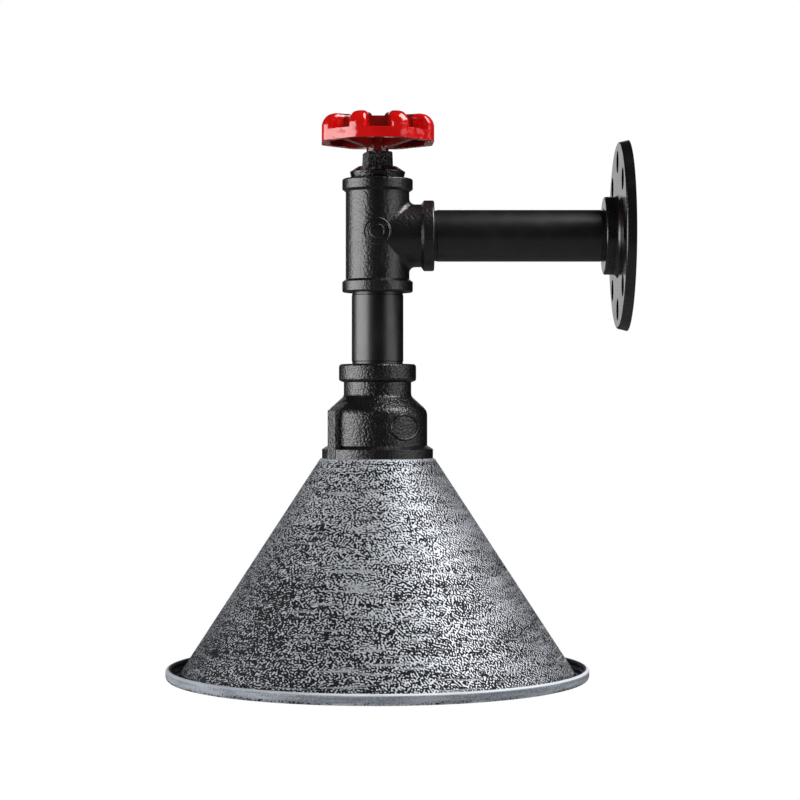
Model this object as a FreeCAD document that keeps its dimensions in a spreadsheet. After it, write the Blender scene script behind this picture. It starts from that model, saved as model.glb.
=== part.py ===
"""Pipe wall lamp with a conical shade and a valve handwheel.

Millimetres. The origin is the centre of the wall flange's back face, which lies in the
plane y = 0. The arm leaves the wall along -y, +z is up, and the shade opens downwards.
"""
import FreeCAD, Part
import Sketcher
import math
import os
import re

# Driving sizes: name, value in millimetres (or degrees, or a count), meaning

SIZES = [
    ("thread_play", 0.02, "radial play between screwed pieces"),
    ("pipe_od", 26.9, "outside of the three-quarter inch pipe"),
    ("pipe_bore", 21.7, "inside of the pipe"),
    ("pipe_thread_od", 26.4, "outside of the pipe thread"),
    ("thread_in", 11.4, "length of pipe screwed into a fitting"),
    ("thread_out", 1.2, "thread run-out left in sight"),
    ("thread_fade", 0.4, "length over which the run-out meets the full pipe"),
    ("thread_deep", 14.0, "depth of thread in a fitting's mouth"),
    ("mouth_bevel", 0.9, "bevel at a fitting's mouth"),
    ("water_way", 24.6, "clear inside of a fitting between its threads"),
    ("arm_seen", 88.1, "arm pipe between flange boss and tee"),
    ("drop_seen", 37.3, "drop pipe between tee and reducing socket"),

    ("flange_od", 99.2, "wall flange at the wall"),
    ("flange_front_od", 96.8, "wall flange at its front edge"),
    ("flange_plate", 5.05, "thickness of the flange plate"),
    ("flange_high", 12.4, "wall to front of the boss"),
    ("boss_od", 40.5, "boss of the flange"),
    ("boss_root", 2.5, "fillet between boss and plate"),
    ("screw_circle", 76.8, "circle of the wall screw holes"),
    ("screw_count", 8, "wall screw holes"),
    ("screw_hole", 6.0, "wall screw hole"),
    ("sink_od", 11.6, "recess for a screw's head"),
    ("sink_deep", 2.6, "depth of that recess"),

    ("tee_end", 29.5, "tee centre to each face"),
    ("tee_run_od", 33.2, "tee body along the run"),
    ("tee_branch_od", 32.7, "tee body along the branch"),
    ("band_od", 36.8, "band at each end of the tee"),
    ("band_wide", 5.4, "straight width of a band"),
    ("band_slope", 1.4, "sloping side of a band"),
    ("band_round", 1.0, "rounded outer edge of a band"),
    ("crease_round", 3.0, "fillet where branch meets run"),

    ("collar_od", 29.0, "plug collar at its widest"),
    ("collar_low", 3.6, "tee face to the collar's widest edge"),
    ("collar_under", 0.9, "how far the collar narrows towards the tee"),
    ("collar_bevel", 2.7, "height of the collar's bevel"),
    ("collar_top_od", 21.0, "top of the bevel"),
    ("square_side", 13.2, "plug head across flats"),
    ("square_high", 7.9, "height of the plug head"),
    ("square_draft", 2.0, "draft of the head's sides, in degrees"),
    ("square_turn", 15.4, "turn of the plug head, in degrees"),
    ("square_round", 1.1, "rounding of the head's edges"),
    ("plug_core", 15.0, "cored recess under the plug"),
    ("plug_core_deep", 9.0, "depth of that recess"),
    ("wheel_screw", 4.0, "screw that holds the handwheel"),
    ("wheel_screw_in", 9.0, "screw length in the plug"),

    ("wheel_flat", 29.1, "handwheel centre to a flat side"),
    ("wheel_corner", 7.3, "rounded corner of the handwheel"),
    ("wheel_shoulder", 7.0, "rounded upper edge of the handwheel"),
    ("wheel_lobes", 8, "lobes and finger pockets"),
    ("wheel_turn", 47.0, "turn of the handwheel at rest, in degrees"),
    ("rim_low", 4.6, "hub foot to the rim's lower edge"),
    ("rim_top", 18.8, "hub foot to the top of the lobes"),
    ("pocket_floor", 10.0, "hub foot to the finger pocket's floor"),
    ("pocket_deep", 9.2, "flat side to a finger pocket's back wall"),
    ("lobe_wide", 6.6, "lobe between two finger pockets at their back walls"),
    ("lobe_flat", 2.5, "flat side between a finger pocket and the rounded corner"),
    ("ring_drop", 2.3, "inner ring below the lobes, between them"),
    ("eye_od", 33.0, "open middle of the handwheel"),
    ("rim_wall", 2.2, "wall of the rim, which is open below"),
    ("lobe_round", 2.5, "rounded top edges of the lobes"),
    ("arm_count", 4, "arms, one to every second finger pocket"),
    ("arm_wide", 3.0, "width of an arm"),
    ("arm_foot", 0.6, "hub foot to an arm's lower edge"),
    ("arm_inset", 0.65, "arm inside the rim's lower and upper faces"),
    ("hub_od", 11.6, "hub of the handwheel"),
    ("hub_high", 8.6, "height of the hub"),
    ("hub_play", 0.05, "radial play of the hub on its screw"),
    ("washer_od", 9.0, "washer on the hub"),
    ("washer_thick", 0.8, "thickness of that washer"),
    ("washer_play", 0.06, "axial play of the hub under its washer"),
    ("screw_head_od", 7.6, "head of the handwheel's screw"),
    ("screw_head_high", 2.8, "height of that head"),
    ("screw_slot", 1.0, "driver slot in a screw head"),

    ("socket_long", 48.9, "length of the reducing socket"),
    ("socket_top_od", 40.2, "band at the narrow end"),
    ("socket_band", 8.6, "height of that band"),
    ("socket_neck_od", 35.1, "neck under the band"),
    ("socket_neck", 8.0, "length of the neck"),
    ("socket_bell", 7.6, "height of the bell"),
    ("socket_body_od", 51.8, "body of the socket"),
    ("socket_rim_od", 57.8, "band at the wide end"),
    ("socket_rim", 4.7, "straight height of that band"),
    ("socket_rim_slope", 1.9, "sloping upper side of that band"),
    ("socket_edge", 1.5, "rounded edges of the narrow end's band"),
    ("socket_shoulder", 6.0, "rounded shoulder of the bell"),
    ("socket_wide_od", 44.8, "bore of the wide end"),
    ("socket_wide_deep", 21.7, "depth of the wide end's bore"),
    ("socket_hollow_od", 40.0, "hollow above the wide bore"),
    ("rib_wide", 7.0, "rib on the socket"),
    ("rib_count", 2, "ribs on the socket"),
    ("rib_turn", -54.5, "place of the first rib, in degrees"),

    ("nipple_od", 10.0, "hollow threaded tube"),
    ("nipple_bore", 7.8, "its bore"),
    ("nipple_proud", 1.0, "tube above its nut"),
    ("nipple_in", 6.0, "tube inside the holder cap"),
    ("bush_thick", 5.0, "bush in the socket's wide end"),
    ("spanner_hole", 4.0, "pin spanner hole in the bush"),
    ("spanner_circle", 29.0, "circle of the spanner holes"),
    ("tag_thick", 0.8, "earth tag"),
    ("tag_od", 16.0, "earth tag ring"),
    ("tag_reach", 12.0, "tube axis to the tag's barrel"),
    ("tag_barrel", 6.0, "height of the tag's barrel"),
    ("tag_barrel_od", 3.8, "outside of the tag's barrel"),
    ("lock_thick", 0.8, "toothed lock washer"),
    ("lock_od", 15.0, "outside of the lock washer"),
    ("lock_teeth", 12, "teeth of the lock washer"),
    ("nut_flats", 14.0, "nut across flats"),
    ("nut_high", 3.0, "height of the nut"),

    ("holder_od", 39.4, "lampholder body"),
    ("holder_play", 0.3, "play of the shade's hole on the lampholder"),
    ("cap_neck_od", 15.0, "neck of the holder cap"),
    ("cap_neck", 5.0, "height of the neck"),
    ("cap_wall", 1.5, "wall of the holder cap"),
    ("cap_press", 12.5, "cap top to the step that presses the insert"),
    ("cap_high", 16.0, "height of the cap"),
    ("cap_dome", 7.0, "rounded shoulder of the cap"),
    ("lock_screw", 3.0, "grub screw in the cap's neck"),
    ("spigot_od", 36.4, "spigot of the shell inside the cap"),
    ("shell_bore", 34.0, "inside of the shell"),
    ("shell_long", 35.0, "cap to the lower end of the shell"),
    ("shell_lip", 3.0, "height of the lip that carries the insert"),
    ("shell_lip_bore", 28.4, "bore of that lip"),
    ("core_play", 0.05, "radial play of the insert in the shell"),
    ("core_rim", 2.5, "raised rim of the insert"),
    ("core_rim_bore", 30.0, "inside of that rim"),
    ("core_floor", 10.0, "thickness of the insert's floor"),
    ("lamp_bore", 27.0, "inside of the screw shell"),
    ("shell_neck", 4.6, "height of the screw shell's narrower base"),
    ("shell_neck_in", 0.5, "how much narrower that base is at each side"),
    ("sheet_brass", 0.4, "sheet of the screw shell and the contact"),
    ("flange_bore", 18.6, "opening in the screw shell's base"),
    ("sleeve_short", 0.5, "screw shell short of the insert's lower face"),
    ("strip_wide", 5.0, "width of the centre contact"),
    ("strip_back", 8.5, "centre contact behind the axis"),
    ("strip_front", 3.0, "centre contact before the axis"),
    ("strip_drop", 3.8, "spring height of the centre contact"),
    ("block_near", 5.5, "terminal block's inner face"),
    ("block_long", 7.0, "terminal block's length"),
    ("block_wide", 5.0, "terminal block's width"),
    ("block_high", 5.0, "terminal block's height"),
    ("rivet", 2.4, "rivet"),
    ("rivet_head", 3.6, "rivet head"),
    ("rivet_head_high", 0.8, "height of the rivet head"),
    ("rivet_in", 1.2, "rivet in a terminal block"),
    ("live_rivet_at", 6.8, "axis to the live rivet"),
    ("neutral_rivet_at", 11.1, "axis to the neutral rivet"),
    ("clamp_screw", 2.5, "terminal screw"),
    ("clamp_head", 4.4, "terminal screw head"),
    ("clamp_head_high", 1.6, "height of the terminal screw head"),
    ("clamp_at", 8.5, "axis to a terminal screw"),

    ("ring_flange_od", 54.0, "flange of the shade ring"),
    ("ring_flange", 2.2, "thickness of that flange"),
    ("ring_od", 46.0, "collar of the shade ring"),
    ("ring_high", 8.0, "height of the shade ring"),
    ("ring_grip", 1.2, "how far the finger ribs stand out"),
    ("ring_grip_wide", 3.0, "width of a finger rib"),
    ("ring_grips", 12, "finger ribs of the shade ring"),

    ("shade_wall", 1.0, "sheet of the shade"),
    ("shade_top_od", 59.4, "flat top of the shade"),
    ("shade_low_od", 207.4, "foot of the cone"),
    ("shade_high", 114.3, "height of the shade"),
    ("brim", 6.2, "brim that stands out from the cone's foot"),
    ("lip_high", 5.8, "height of the lip"),
    ("bead", 3.0, "rolled edge of the lip"),
    ("shade_round", 1.4, "rounded upper edge of the shade"),
    ("brim_round", 2.2, "rounded turns of the rim"),

    ("wire_od", 2.0, "insulated wire"),
    ("wire_apart", 2.4, "spacing of the wires"),
    ("wire_play", 0.05, "play of a wire in its terminal"),
    ("wire_lift", 0.05, "ferrule above the pipe's inner wall"),
    ("wire_sweep", 14.0, "bend of the wires inside the tee"),
    ("earth_rise", 20.4, "straight rise of the earth wire above its tag"),
    ("wire_end", 6.0, "wall to the end of the wires"),
    ("ferrule_od", 2.3, "ferrule on a wire's end"),
    ("ferrule_long", 8.0, "length of a ferrule"),
]

# Places that follow from them, as formulas of the same sheet

PLACES = [
    ("drop_out", "=flange_high + arm_seen + tee_end", "wall to the drop axis"),
    ("arm_long", "=arm_seen + 2 * thread_in", "arm pipe's length"),
    ("drop_long", "=drop_seen + 2 * thread_in", "drop pipe's length"),
    ("wheel_seat", "=tee_end + collar_low + collar_bevel + square_high", "top of the plug"),
    ("washer_seat", "=wheel_seat + hub_high + washer_play", "washer over the hub"),
    ("pocket_back", "=wheel_flat - pocket_deep", "centre to a finger pocket's back wall"),
    ("pocket_half", "=(pocket_back * sin(180deg / wheel_lobes) - lobe_wide / 2)"
     " / cos(180deg / wheel_lobes)", "half width of a finger pocket at its back wall"),
    ("lobe_lean", "=tan(180deg / wheel_lobes)", "half a flat side per millimetre from the centre"),
    ("pocket_flare", "=(lobe_lean * (wheel_flat - wheel_corner) - lobe_flat - pocket_half)"
     " / (wheel_flat - pocket_back)", "widening of a finger pocket per millimetre outwards"),
    ("socket_head", "=-(tee_end + drop_seen)", "upper face of the reducing socket"),
    ("socket_face", "=socket_head - socket_long", "lower face of the reducing socket"),
    ("bush_seat", "=socket_face + socket_wide_deep", "shoulder above the bush"),
    ("lock_seat", "=bush_seat + tag_thick", "lock washer on the earth tag"),
    ("nut_seat", "=lock_seat + lock_thick", "nut on the lock washer"),
    ("nipple_top", "=nut_seat + nut_high + nipple_proud", "upper end of the tube"),
    ("cap_seat", "=bush_seat - bush_thick", "cap under the bush"),
    ("nipple_foot", "=cap_seat - nipple_in", "lower end of the tube"),
    ("press_step", "=cap_seat - cap_press", "step in the cap, spigot and insert rim"),
    ("shell_seat", "=cap_seat - cap_high", "lower edge of the cap"),
    ("shell_foot", "=shell_seat - shell_long", "lower end of the lampholder"),
    ("core_seat", "=press_step - core_rim", "insert's floor, where the terminals stand"),
    ("core_long", "=core_seat - shell_foot - shell_lip", "insert's length below its floor"),
    ("roof", "=core_seat - core_floor", "roof of the lamp's socket"),
    ("wire_level", "=core_seat + block_high / 2", "wires in the terminal blocks"),
    ("ring_seat", "=socket_face - shade_wall", "shade ring under the shade"),
    ("shade_slope", "=(shade_low_od - shade_top_od) / 2 / (shade_high - shade_wall)",
     "widening of the cone per millimetre"),
    ("shade_across", "=shade_wall * sqrt(1 + shade_slope ^ 2)", "cone's wall, measured level"),
    ("lip_od", "=shade_low_od + 2 * brim", "outside of the turned-up lip"),
    ("wire_floor", "=-sqrt((pipe_bore / 2 - ferrule_od / 2 - wire_lift) ^ 2 - wire_apart ^ 2)",
     "height of the wires that lie in the arm"),
]

TURN = 360
NO_ROTATION = FreeCAD.Rotation()
UP = FreeCAD.Vector(0, 0, 1)

doc = FreeCAD.newDocument("wall_lamp")
sheet = doc.addObject("Spreadsheet::Sheet", "Sizes")
sheet.Label = "Sizes"
for row, (alias, content, meaning) in enumerate(SIZES + PLACES, start=1):
    sheet.set(f"A{row}", meaning)
    sheet.set(f"B{row}", str(content))
    sheet.setAlias(f"B{row}", alias)
doc.recompute()

NODES = []


def linked(expression):
    """The same expression with every size read from the sheet."""
    return re.sub(r"\b([a-z][a-z_]+)\b(?!\()", r"Sizes.\1", expression)


def size(expression):
    return float(sheet.evalExpression(linked(expression)))


def bind(thing, path, expression):
    thing.setExpression(path, linked(expression))


def place(thing, x="0", y="0", z="0", rotation=NO_ROTATION):
    """Put a piece at a place given by sizes."""
    thing.Placement = FreeCAD.Placement(FreeCAD.Vector(), rotation)
    for axis, expression in (("x", x), ("y", y), ("z", z)):
        bind(thing, f".Placement.Base.{axis}", expression)
    return thing


def node(thing, label):
    """Name a finished piece and list it for writing."""
    thing.Label = label
    NODES.append(thing)
    return thing


def on_drop_axis(thing, z, rotation=NO_ROTATION):
    return place(thing, "0", "-drop_out", z, rotation)


# Sketches and features of a body

def new_body(name):
    return doc.addObject("PartDesign::Body", name + "_body")


def origin_part(body, role):
    return [part for part in body.Origin.OriginFeatures if part.Role == role][0]


def new_sketch(body, name, role="XZ_Plane", lift="0", turn=None):
    """Sketch on a plane of the body's own origin, lifted off it or turned in it."""
    sketch = body.newObject("Sketcher::SketchObject", name)
    sketch.AttachmentSupport = [(origin_part(body, role), "")]
    sketch.MapMode = "FlatFace"
    if turn:
        sketch.AttachmentOffset = FreeCAD.Placement(FreeCAD.Vector(), turn)
    if lift != "0":
        bind(sketch, ".AttachmentOffset.Base.z", lift)
    return sketch


def draw_outline(sketch, corners):
    """Closed outline of straight edges. Each corner is a pair of expressions."""
    spots = [FreeCAD.Vector(size(across), size(up), 0) for across, up in corners]
    first = sketch.GeometryCount
    count = len(spots)
    for index, spot in enumerate(spots):
        sketch.addGeometry(Part.LineSegment(spot, spots[(index + 1) % count]), False)
    for index in range(count):
        following = first + (index + 1) % count
        sketch.addConstraint(Sketcher.Constraint("Coincident", first + index, 2, following, 1))
    for index, pair in enumerate(corners):
        for kind, expression in zip(("DistanceX", "DistanceY"), pair):
            rule = Sketcher.Constraint(kind, first + index, 1, size(expression))
            number = sketch.addConstraint(rule)
            bind(sketch, f"Constraints[{number}]", expression)
    return sketch


def draw_circle(sketch, diameter, across="0", up="0"):
    centre = FreeCAD.Vector(size(across), size(up), 0)
    circle = sketch.addGeometry(Part.Circle(centre, UP, size(diameter) / 2), False)
    for kind, expression in (("DistanceX", across), ("DistanceY", up)):
        rule = Sketcher.Constraint(kind, circle, 3, size(expression))
        bind(sketch, f"Constraints[{sketch.addConstraint(rule)}]", expression)
    rule = Sketcher.Constraint("Diameter", circle, size(diameter))
    bind(sketch, f"Constraints[{sketch.addConstraint(rule)}]", diameter)
    return sketch


def swing(body, kind, name, sketch, axis="V_Axis"):
    """Revolution or Groove of a sketch about one of the sketch's axes."""
    feature = body.newObject("PartDesign::" + kind, name)
    feature.Profile = sketch
    feature.ReferenceAxis = (sketch, [axis])
    feature.Angle = TURN
    doc.recompute()
    return feature


def push(body, kind, name, sketch, length=None, reverse=False, midplane=False):
    """Pad or Pocket of a sketch, by a length or, for a Pocket, through everything."""
    feature = body.newObject("PartDesign::" + kind, name)
    feature.Profile = sketch
    feature.Reversed = reverse
    feature.Midplane = midplane
    if length is None:
        feature.Type = "ThroughAll"
    else:
        bind(feature, ".Length", length)
    doc.recompute()
    return feature


def round_pattern(body, name, features, count):
    """Repeat features about the body's z axis."""
    pattern = body.newObject("PartDesign::PolarPattern", name)
    pattern.Originals = features
    pattern.Axis = (origin_part(body, "Z_Axis"), [""])
    pattern.Angle = TURN
    bind(pattern, ".Occurrences", count)
    body.Tip = pattern
    doc.recompute()
    return pattern


def soften(body, name, edges, radius, kind="Fillet"):
    """Fillet or chamfer the chosen edges of the body's last feature."""
    base = body.Tip
    feature = body.newObject("PartDesign::" + kind, name)
    feature.Base = (base, edges)
    bind(feature, ".Radius" if kind == "Fillet" else ".Size", radius)
    doc.recompute()
    return feature


def edges_where(body, test):
    """Names of the edges of the body's last feature that pass a test."""
    return [f"Edge{number}" for number, edge in enumerate(body.Tip.Shape.Edges, start=1)
            if test(edge)]


def near(one, other):
    return abs(one - other) < 0.01


def ring_edges(body, *rings):
    """Circular edges about the z axis, each given by its diameter and height."""
    wanted = [(size(diameter) / 2, size(height)) for diameter, height in rings]

    def is_wanted(edge):
        curve = edge.Curve
        if not isinstance(curve, Part.Circle) or abs(curve.Axis.z) < 0.99:
            return False
        return any(near(curve.Radius, radius) and near(curve.Center.z, height)
                   for radius, height in wanted)

    return edges_where(body, is_wanted)


def turned(name, corners, turn=None):
    """Body turned about its z axis from an outline of (radius, height) corners."""
    body = new_body(name)
    sketch = draw_outline(new_sketch(body, name + "_outline", turn=turn), corners)
    swing(body, "Revolution", name + "_form", sketch)
    return body


# Small pieces from primitives

def rod(name, diameter, height, x="0", y="0", z="0", rotation=NO_ROTATION):
    piece = doc.addObject("Part::Cylinder", name)
    bind(piece, ".Radius", f"({diameter}) / 2")
    bind(piece, ".Height", height)
    return place(piece, x, y, z, rotation)


def block(name, length, width, height, x="0", y="0", z="0"):
    piece = doc.addObject("Part::Box", name)
    bind(piece, ".Length", length)
    bind(piece, ".Width", width)
    bind(piece, ".Height", height)
    return place(piece, x, y, z)


def fused(name, pieces):
    joined = doc.addObject("Part::MultiFuse", name)
    joined.Shapes = pieces
    return joined


def cut(name, base, tool):
    result = doc.addObject("Part::Cut", name)
    result.Base = base
    result.Tool = tool
    return result


# Wall flange: cast plate with a threaded boss and recessed screw holes

def make_wall_flange():
    body = turned("wall_flange", [
        ("pipe_thread_od / 2 + thread_play", "0"),
        ("flange_od / 2", "0"),
        ("flange_front_od / 2", "flange_plate"),
        ("boss_od / 2", "flange_plate"),
        ("boss_od / 2", "flange_high"),
        ("pipe_thread_od / 2 + mouth_bevel", "flange_high"),
        ("pipe_thread_od / 2 + thread_play", "flange_high - mouth_bevel"),
    ])
    soften(body, "boss_root_fillet", ring_edges(body, ("boss_od", "flange_plate")), "boss_root")
    outer = ring_edges(body, ("boss_od", "flange_high"), ("flange_front_od", "flange_plate"))
    soften(body, "flange_edge_round", outer, "band_round")

    hole = draw_circle(new_sketch(body, "screw_hole_place", "XY_Plane"), "screw_hole",
                       up="screw_circle / 2")
    drilled = push(body, "Pocket", "screw_hole_cut", hole, reverse=True)
    sink = new_sketch(body, "sink_place", "XY_Plane", lift="flange_plate")
    draw_circle(sink, "sink_od", up="screw_circle / 2")
    sunk = push(body, "Pocket", "sink_cut", sink, "sink_deep")
    round_pattern(body, "screw_holes", [drilled, sunk], "screw_count")
    away_from_wall = FreeCAD.Rotation(FreeCAD.Vector(1, 0, 0), 90)
    node(place(body, rotation=away_from_wall), "wall_flange")


# Pipe nipples: steel pipe with a thread at both ends

def make_pipe(name, length):
    thread = "thread_in + thread_out"
    body = turned(name, [
        ("pipe_bore / 2", "0"),
        ("pipe_thread_od / 2", "0"),
        ("pipe_thread_od / 2", thread),
        ("pipe_od / 2", thread + " + thread_fade"),
        ("pipe_od / 2", f"{length} - ({thread}) - thread_fade"),
        ("pipe_thread_od / 2", f"{length} - ({thread})"),
        ("pipe_thread_od / 2", length),
        ("pipe_bore / 2", length),
    ])
    return node(body, name)


def make_arm_pipe():
    pipe = make_pipe("arm_pipe", "arm_long")
    away_from_wall = FreeCAD.Rotation(FreeCAD.Vector(1, 0, 0), 90)
    place(pipe, y="thread_in - flange_high", rotation=away_from_wall)


def make_drop_pipe():
    pipe = make_pipe("drop_pipe", "drop_long")
    on_drop_axis(pipe, "socket_head - thread_in")


# Tee: cast fitting, run upright, branch towards the wall

def make_tee():
    """The run is turned from an outline opposite the branch, so that no seam meets the crease."""
    banded = "tee_end - band_wide"
    away_from_branch = FreeCAD.Rotation(FreeCAD.Vector(0, 1, 0), -90)
    body = turned("tee", [
        ("0", "-tee_end"),
        ("band_od / 2", "-tee_end"),
        ("band_od / 2", f"-({banded})"),
        ("tee_run_od / 2", f"-({banded}) + band_slope"),
        ("tee_run_od / 2", f"{banded} - band_slope"),
        ("band_od / 2", banded),
        ("band_od / 2", "tee_end"),
        ("0", "tee_end"),
    ], away_from_branch)
    branch = draw_outline(new_sketch(body, "branch_outline", "YZ_Plane"), [
        ("0", "0"),
        ("0", "tee_branch_od / 2"),
        (f"{banded} - band_slope", "tee_branch_od / 2"),
        (banded, "band_od / 2"),
        ("tee_end", "band_od / 2"),
        ("tee_end", "0"),
    ])
    swing(body, "Revolution", "branch_form", branch, "H_Axis")

    def is_crease(edge):
        return not isinstance(edge.Curve, (Part.Circle, Part.Line))

    soften(body, "crease_fillet", edges_where(body, is_crease), "crease_round")

    def is_band_edge(edge):
        if not isinstance(edge.Curve, Part.Circle):
            return False
        centre = edge.Curve.Center
        at_face = near(max(abs(centre.y), abs(centre.z)), size("tee_end"))
        return at_face and near(edge.Curve.Radius, size("band_od / 2"))

    soften(body, "band_edges", edges_where(body, is_band_edge), "band_round")

    thread = "pipe_thread_od / 2 + thread_play"
    mouth = "pipe_thread_od / 2 + mouth_bevel"
    inner = "tee_end - thread_deep"
    run_bore = draw_outline(new_sketch(body, "run_bore_outline", turn=away_from_branch), [
        ("0", "-tee_end"),
        (mouth, "-tee_end"),
        (thread, "-tee_end + mouth_bevel"),
        (thread, f"-({inner})"),
        ("water_way / 2", f"-({inner})"),
        ("water_way / 2", inner),
        (thread, inner),
        (thread, "tee_end - mouth_bevel"),
        (mouth, "tee_end"),
        ("0", "tee_end"),
    ])
    swing(body, "Groove", "run_bore", run_bore)
    branch_bore = draw_outline(new_sketch(body, "branch_bore_outline", "YZ_Plane"), [
        ("0", "0"),
        ("0", "water_way / 2"),
        (inner, "water_way / 2"),
        (inner, thread),
        ("tee_end - mouth_bevel", thread),
        ("tee_end", mouth),
        ("tee_end", "0"),
    ])
    swing(body, "Groove", "branch_bore", branch_bore, "H_Axis")
    node(on_drop_axis(body, "0"), "tee")


# Plug: cast, screwed into the tee's upper end, with a square head

def make_top_plug():
    collar_top = "collar_low + collar_bevel"
    body = turned("top_plug", [
        ("0", "-thread_in"),
        ("pipe_thread_od / 2", "-thread_in"),
        ("pipe_thread_od / 2", "0"),
        ("collar_od / 2 - collar_under", "0"),
        ("collar_od / 2", "collar_low"),
        ("collar_top_od / 2", collar_top),
        ("0", collar_top),
    ])
    soften(body, "collar_edge_round", ring_edges(body, ("collar_od", "collar_low")), "band_round / 2")
    low = "-square_side / 2"
    high = "square_side / 2"
    head = new_sketch(body, "head_outline", "XY_Plane", lift=collar_top)
    draw_outline(head, [(low, low), (high, low), (high, high), (low, high)])
    pad = push(body, "Pad", "head_form", head, "square_high")
    bind(pad, ".TaperAngle", "-square_draft")
    doc.recompute()

    def is_head_edge(edge):
        return edge.BoundBox.ZMax > size(collar_top) + 1 and isinstance(edge.Curve, Part.Line)

    soften(body, "head_round", edges_where(body, is_head_edge), "square_round")
    recess = draw_circle(new_sketch(body, "core_outline", "XY_Plane", lift="-thread_in"), "plug_core")
    push(body, "Pocket", "core_recess", recess, "plug_core_deep", reverse=True)
    top = collar_top + " + square_high"
    tapped = draw_circle(new_sketch(body, "tapped_outline", "XY_Plane", lift=top),
                         "wheel_screw + 2 * thread_play")
    push(body, "Pocket", "tapped_hole", tapped, "wheel_screw_in + screw_slot")
    turn = FreeCAD.Rotation(UP, size("square_turn"))
    node(on_drop_axis(body, "tee_end", turn), "top_plug")


# Handwheel: hollow cast rim with finger pockets between rounded lobes, arms and a hub

def lobed_corners(to_flat):
    """Corners of the wheel's outline, one to a lobe, with a flat side across the x axis."""
    count = int(size("wheel_lobes"))
    reach = f"{to_flat} / {math.cos(math.pi / count):.9f}"
    angles = [math.pi * (2 * index + 1) / count for index in range(count)]
    return [(f"({reach}) * {math.cos(angle):.9f}", f"({reach}) * {math.sin(angle):.9f}")
            for angle in angles]


def is_upright(edge):
    return isinstance(edge.Curve, Part.Line) and abs(edge.Curve.Direction.z) > 0.99


def make_handwheel():
    body = new_body("handwheel")
    rim = new_sketch(body, "rim_outline", "XY_Plane", lift="rim_low")
    draw_outline(rim, lobed_corners("wheel_flat"))
    push(body, "Pad", "rim_form", rim, "rim_top - rim_low")
    soften(body, "corner_round", edges_where(body, is_upright), "wheel_corner")
    top = size("rim_top")
    upper = edges_where(body, lambda edge: near(edge.BoundBox.ZMin, top))
    soften(body, "shoulder_round", upper, "wheel_shoulder")

    eye = draw_circle(new_sketch(body, "eye_outline", "XY_Plane"), "eye_od")
    push(body, "Pocket", "eye_cut", eye, reverse=True)

    def side_inside(distance):
        return f"pocket_half - lobe_lean * (pocket_back - ({distance}))"

    outside = "wheel_flat + wheel_corner"
    outer_half = f"pocket_half + pocket_flare * ({outside} - pocket_back)"
    inside = "eye_od / 2 - rim_wall"
    pocket = new_sketch(body, "pocket_outline", "XY_Plane", lift="rim_top")
    draw_outline(pocket, [
        (inside, f"-({side_inside(inside)})"),
        ("pocket_back", "-pocket_half"),
        (outside, f"-({outer_half})"),
        (outside, outer_half),
        ("pocket_back", "pocket_half"),
        (inside, side_inside(inside)),
    ])
    pocket_cut = push(body, "Pocket", "pocket_cut", pocket, "rim_top - pocket_floor")
    round_pattern(body, "finger_pockets", [pocket_cut], "wheel_lobes")

    def is_lobe_edge(edge):
        if not isinstance(edge.Curve, Part.Line) or not near(edge.BoundBox.ZMin, top):
            return False
        faces = body.Tip.Shape.ancestorsOfType(edge, Part.Face)
        return any(isinstance(face.Surface, Part.Plane) and abs(face.Surface.Axis.z) < 0.01
                   for face in faces)

    soften(body, "lobe_edges", edges_where(body, is_lobe_edge), "lobe_round")

    ring = new_sketch(body, "ring_outline", "XY_Plane", lift="pocket_floor")
    draw_outline(ring, lobed_corners("pocket_back"))
    draw_circle(ring, "eye_od")
    push(body, "Pad", "ring_form", ring, "rim_top - ring_drop - pocket_floor")

    hollow = new_sketch(body, "hollow_outline", "XY_Plane", lift="rim_low")
    draw_outline(hollow, lobed_corners("wheel_flat - rim_wall"))
    push(body, "Pocket", "hollow_cut", hollow, "pocket_floor - rim_wall - rim_low", reverse=True)

    arm = draw_outline(new_sketch(body, "arm_outline"), [
        ("0", "arm_foot"),
        ("wheel_flat - rim_wall / 2", "rim_low + arm_inset"),
        ("wheel_flat - rim_wall / 2", "pocket_floor - 2 * arm_inset"),
        ("eye_od / 2", "pocket_floor - arm_inset"),
        ("hub_od / 2", "hub_high - 2 * arm_inset"),
        ("0", "hub_high - 2 * arm_inset"),
    ])
    arm_pad = push(body, "Pad", "arm_form", arm, "arm_wide", midplane=True)
    round_pattern(body, "wheel_arms", [arm_pad], "arm_count")
    hub = draw_circle(new_sketch(body, "hub_outline", "XY_Plane"), "hub_od")
    push(body, "Pad", "hub_form", hub, "hub_high")
    bore = draw_circle(new_sketch(body, "hub_bore_outline", "XY_Plane"),
                       "wheel_screw + 2 * hub_play")
    push(body, "Pocket", "hub_bore", bore, reverse=True)
    turn = FreeCAD.Rotation(UP, size("wheel_turn"))
    node(on_drop_axis(body, "wheel_seat", turn), "handwheel")


def make_wheel_fixings():
    washer = cut("washer_ring",
                 rod("washer_disc", "washer_od", "washer_thick"),
                 rod("washer_hole", "wheel_screw + 2 * hub_play", "washer_thick"))
    node(on_drop_axis(washer, "washer_seat"), "handwheel_washer")

    shank_foot = "-(wheel_screw_in + hub_high + washer_play + washer_thick)"
    screw = fused("wheel_screw_form", [
        rod("wheel_screw_shank", "wheel_screw", f"-({shank_foot})", z=shank_foot),
        rod("wheel_screw_head", "screw_head_od", "screw_head_high"),
    ])
    slot = block("wheel_screw_slot", "screw_head_od", "screw_slot", "screw_slot",
                 "-screw_head_od / 2", "-screw_slot / 2", "screw_head_high - screw_slot")
    slotted = cut("wheel_screw_slotted", screw, slot)
    node(on_drop_axis(slotted, "washer_seat + washer_thick"), "handwheel_screw")


# Reducing socket: cast bell between the drop pipe and the shade

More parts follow.
